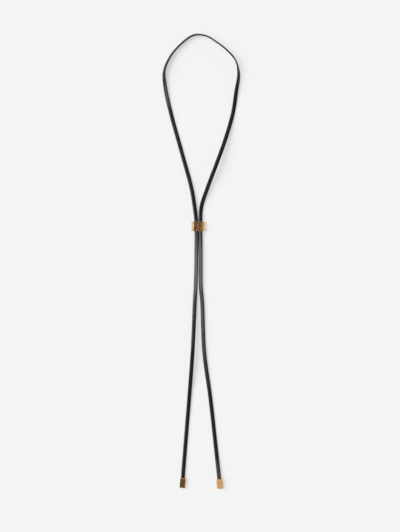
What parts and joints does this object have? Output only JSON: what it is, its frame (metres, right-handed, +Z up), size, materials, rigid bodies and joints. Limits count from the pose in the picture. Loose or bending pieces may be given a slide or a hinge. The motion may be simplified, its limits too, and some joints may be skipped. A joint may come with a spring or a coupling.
{
  "type": "cord necklace",
  "caption": "Flat black leather lace necklace with a faceted gold-tone slider on both strands and a rectangular metal cap on each free end, laid flat.",
  "frame": {"origin": "middle of the slider's flat underside, on the surface that the necklace lies on", "axes": "+Y from the slider to the back of the neck loop, +Z up from the surface, +X across the strands"},
  "size_m": [0.0817, 0.4781, 0.0092],
  "materials": {
    "leather": "smooth semi-gloss black with a fine grain",
    "gold_tone_metal": "polished gold-tone plating with fine handling marks"
  },
  "bodies": {
    "necklace": {"cord": "leather", "end_cap_left": "gold_tone_metal", "end_cap_right": "gold_tone_metal"},
    "slider": {"slider": "gold_tone_metal"}
  },
  "joints": [
    {"name": "slider_slide", "type": "slide", "parent": "necklace", "child": "slider", "axis": [0, -1, 0], "range_m": [0, 0.025]}
  ]
}
